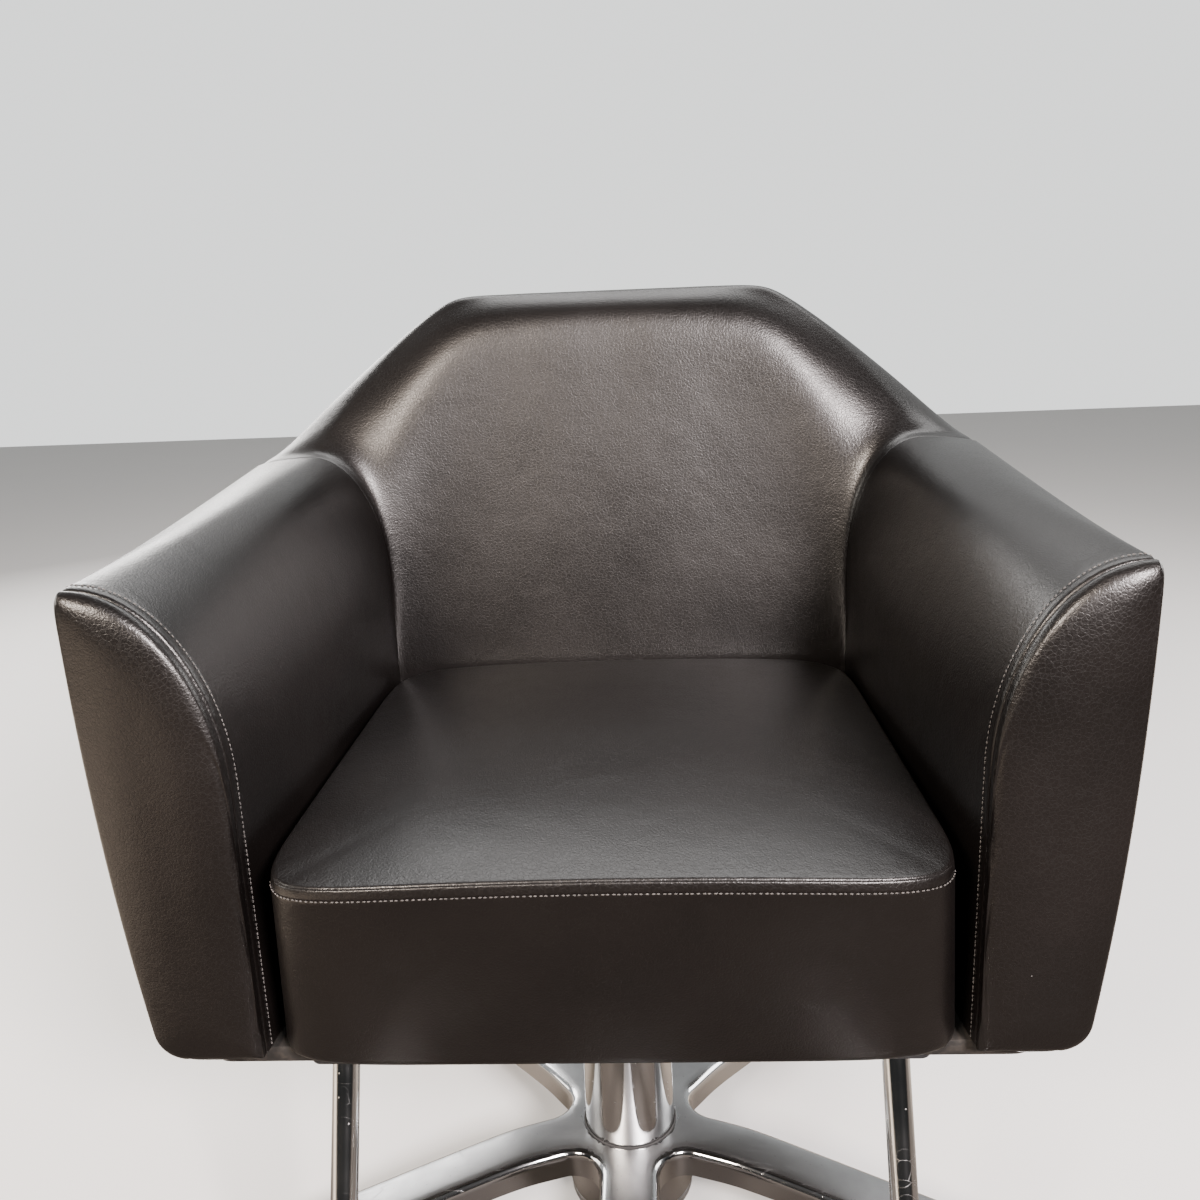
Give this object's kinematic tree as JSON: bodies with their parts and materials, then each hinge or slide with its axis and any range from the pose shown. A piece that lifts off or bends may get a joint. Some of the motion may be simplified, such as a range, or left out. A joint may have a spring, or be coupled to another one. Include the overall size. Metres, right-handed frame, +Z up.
{
  "type": "styling chair",
  "caption": "Upholstered tub chair for a hair salon on a hydraulic column, with a five-star base, tubular footrest and foot pedal.",
  "frame": {"origin": "on the floor under the column's axis, at the centre of the footprint", "axes": "+Z up along the column, -Y towards where the sitter faces, +X to the left hand of the sitter"},
  "size_m": [0.682, 0.77, 0.8075],
  "materials": {
    "upholstery": "semi-gloss fine pebble grain",
    "chrome": "mirror polished",
    "cast_aluminium": "satin top with polished edges",
    "steel": "zinc plated",
    "black_steel": "black satin powder coat",
    "rubber": "matt",
    "plywood": "raw birch plywood"
  },
  "bodies": {
    "base": {"star_base": "cast_aluminium", "base_glide_1": "rubber", "base_glide_2": "rubber", "base_glide_3": "rubber", "base_glide_4": "rubber", "base_glide_5": "rubber", "column_cover": "chrome", "column_gasket": "rubber", "pump_block": "steel", "pump_cylinder": "steel", "cylinder_cap": "chrome", "pump_retaining_plate": "steel", "retaining_screw_1": "steel", "retaining_screw_2": "steel", "retaining_screw_3": "steel", "retaining_screw_4": "steel", "pedal_pivot_pin": "steel"},
    "lift": {"piston_rod": "chrome", "piston_head": "steel", "piston_seal": "rubber", "swivel_thrust_washer": "steel"},
    "seat": {"footrest_bar": "chrome", "swivel_hub": "black_steel", "mount_plate": "black_steel", "footrest_flange_left": "black_steel", "footrest_flange_right": "black_steel", "bottom_board": "plywood", "seat_board": "plywood", "back_frame_board": "plywood", "arm_frame_left": "plywood", "arm_frame_right": "plywood", "seat_cushion": "upholstery", "back_cushion": "upholstery", "arm_pad_left": "upholstery", "arm_pad_right": "upholstery", "arm_front_panel_left": "upholstery", "arm_front_panel_right": "upholstery", "plate_bolt_1": "steel", "plate_bolt_2": "steel", "plate_bolt_3": "steel", "plate_bolt_4": "steel", "footrest_screw_1": "steel", "footrest_screw_2": "steel", "footrest_screw_3": "steel", "footrest_screw_4": "steel", "arm_screw_1": "steel", "arm_screw_2": "steel", "arm_screw_3": "steel", "arm_screw_4": "steel"},
    "pedal": {"pedal_lever": "chrome", "pedal_pad": "rubber"},
    "plunger": {"pump_plunger": "steel"}
  },
  "joints": [
    {"name": "height_lift", "type": "slide", "parent": "base", "child": "lift", "axis": [0, 0, 1], "range_m": [0, 0.14]},
    {"name": "seat_swivel", "type": "hinge", "parent": "lift", "child": "seat", "pos_m": [0, 0, 0.25], "axis": [0, 0, 1], "continuous": true},
    {"name": "pump_pedal", "type": "hinge", "parent": "base", "child": "pedal", "pos_m": [0, 0.052, 0.062], "axis": [-1, 0, 0], "range_deg": [0, 14], "stiffness_Nm_per_rad": 12, "springref_deg": -22.92},
    {"name": "pump_stroke", "type": "slide", "parent": "base", "child": "plunger", "axis": [0, -1, 0], "range_m": [0, 0.0055]}
  ],
  "couplings": [
    {"joint": "pump_stroke", "follows": "pump_pedal", "m_per_rad": 0.022}
  ]
}
